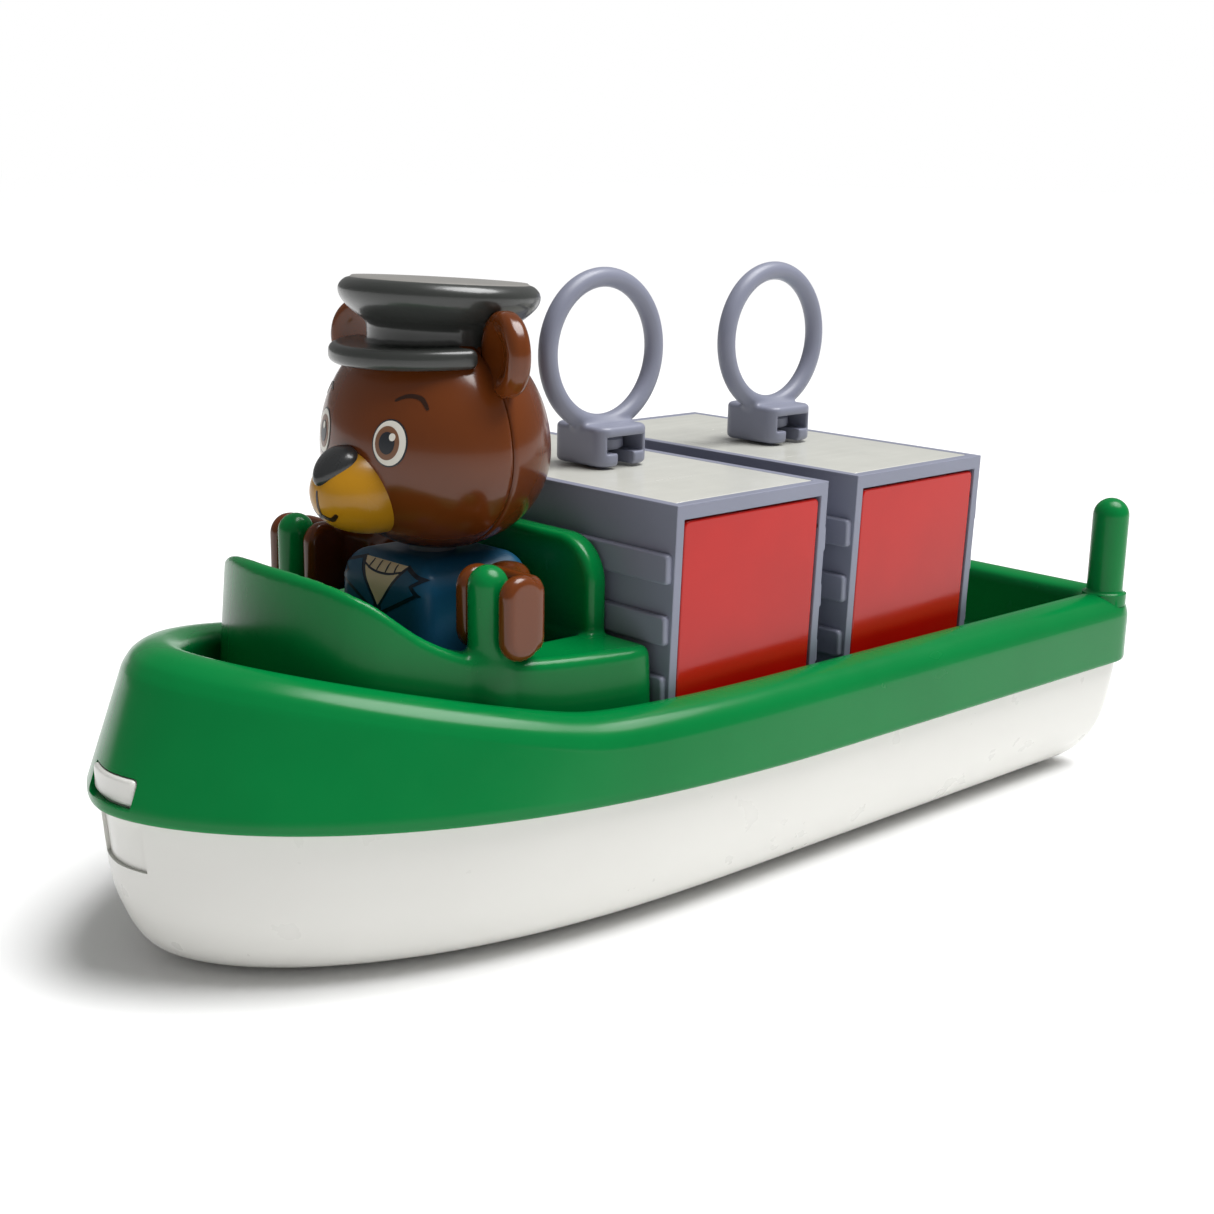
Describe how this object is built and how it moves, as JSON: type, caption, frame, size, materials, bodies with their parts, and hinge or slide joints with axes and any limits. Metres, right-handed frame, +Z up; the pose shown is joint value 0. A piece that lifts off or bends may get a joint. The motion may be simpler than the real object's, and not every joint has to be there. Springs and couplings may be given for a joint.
{
  "type": "toy container boat with figure",
  "caption": "Floating toy cargo boat: snap-together hull, lift-out containers with crane rings, and a seated bear captain whose head and arms turn.",
  "frame": {"origin": "centre of the boat's footprint, at the bottom of the hull", "axes": "+X towards the bow, +Y to port, +Z up"},
  "size_m": [0.2114, 0.1012, 0.1049],
  "materials": {
    "white_plastic": "glossy injection-moulded plastic",
    "green_plastic": "glossy injection-moulded plastic",
    "grey_plastic": "glossy injection-moulded plastic",
    "pale_plastic": "glossy injection-moulded plastic",
    "red_plastic": "glossy injection-moulded plastic",
    "brown_plastic": "glossy injection-moulded plastic",
    "blue_plastic": "glossy injection-moulded plastic",
    "yellow_plastic": "glossy injection-moulded plastic",
    "black_plastic": "glossy injection-moulded plastic",
    "cap_plastic": "glossy injection-moulded plastic",
    "pin_plastic": "satin moulded plastic"
  },
  "bodies": {
    "boat": {"lower_hull": "white_plastic", "deck": "green_plastic", "cockpit": "green_plastic"},
    "fore_box": {"fore_box_frame": "grey_plastic", "fore_box_lid": "pale_plastic", "fore_box_port_panel": "red_plastic", "fore_box_starboard_panel": "red_plastic", "fore_box_lug": "grey_plastic"},
    "aft_box": {"aft_box_frame": "grey_plastic", "aft_box_lid": "pale_plastic", "aft_box_port_panel": "red_plastic", "aft_box_starboard_panel": "red_plastic", "aft_box_lug": "grey_plastic"},
    "fore_ring": {"fore_box_ring": "grey_plastic"},
    "aft_ring": {"aft_box_ring": "grey_plastic"},
    "figure": {"torso": "blue_plastic", "neck_pin": "pin_plastic"},
    "head": {"head_front": "brown_plastic", "head_back": "brown_plastic", "ear_left": "brown_plastic", "ear_right": "brown_plastic", "muzzle": "yellow_plastic", "nose": "black_plastic", "cap": "cap_plastic"},
    "arm_left": {"arm_left": "brown_plastic"},
    "arm_right": {"arm_right": "brown_plastic"},
    "legs": {"leg_left": "blue_plastic", "leg_right": "blue_plastic", "hip_pin": "pin_plastic"}
  },
  "joints": [
    {"name": "fore_box_lift", "type": "slide", "parent": "boat", "child": "fore_box", "axis": [0, 0, 1], "range_m": [0, 0.06]},
    {"name": "aft_box_lift", "type": "slide", "parent": "boat", "child": "aft_box", "axis": [0, 0, 1], "range_m": [0, 0.06]},
    {"name": "fore_ring_turn", "type": "hinge", "parent": "fore_box", "child": "fore_ring", "pos_m": [0.0046, 0, 0.0725], "axis": [0, 0, 1], "continuous": true},
    {"name": "aft_ring_turn", "type": "hinge", "parent": "aft_box", "child": "aft_ring", "pos_m": [-0.0413, 0, 0.0725], "axis": [0, 0, 1], "continuous": true},
    {"name": "figure_lift", "type": "slide", "parent": "boat", "child": "figure", "axis": [0, 0, 1], "range_m": [0, 0.06]},
    {"name": "head_turn", "type": "hinge", "parent": "figure", "child": "head", "pos_m": [0.0433, 0, 0.0612], "axis": [0, 0, 1], "range_deg": [-60, 60]},
    {"name": "arm_left_raise", "type": "hinge", "parent": "figure", "child": "arm_left", "pos_m": [0.0405, 0.0124, 0.0546], "axis": [0, -1, 0], "range_deg": [0, 15]},
    {"name": "arm_right_raise", "type": "hinge", "parent": "figure", "child": "arm_right", "pos_m": [0.0405, -0.0124, 0.0546], "axis": [0, -1, 0], "range_deg": [0, 15]},
    {"name": "leg_swing", "type": "hinge", "parent": "figure", "child": "legs", "pos_m": [0.042, 0, 0.0302], "axis": [0, 1, 0], "range_deg": [0, 90]}
  ],
  "couplings": [
    {"joint": "leg_swing", "follows": "figure_lift", "rad_per_m": 26}
  ]
}
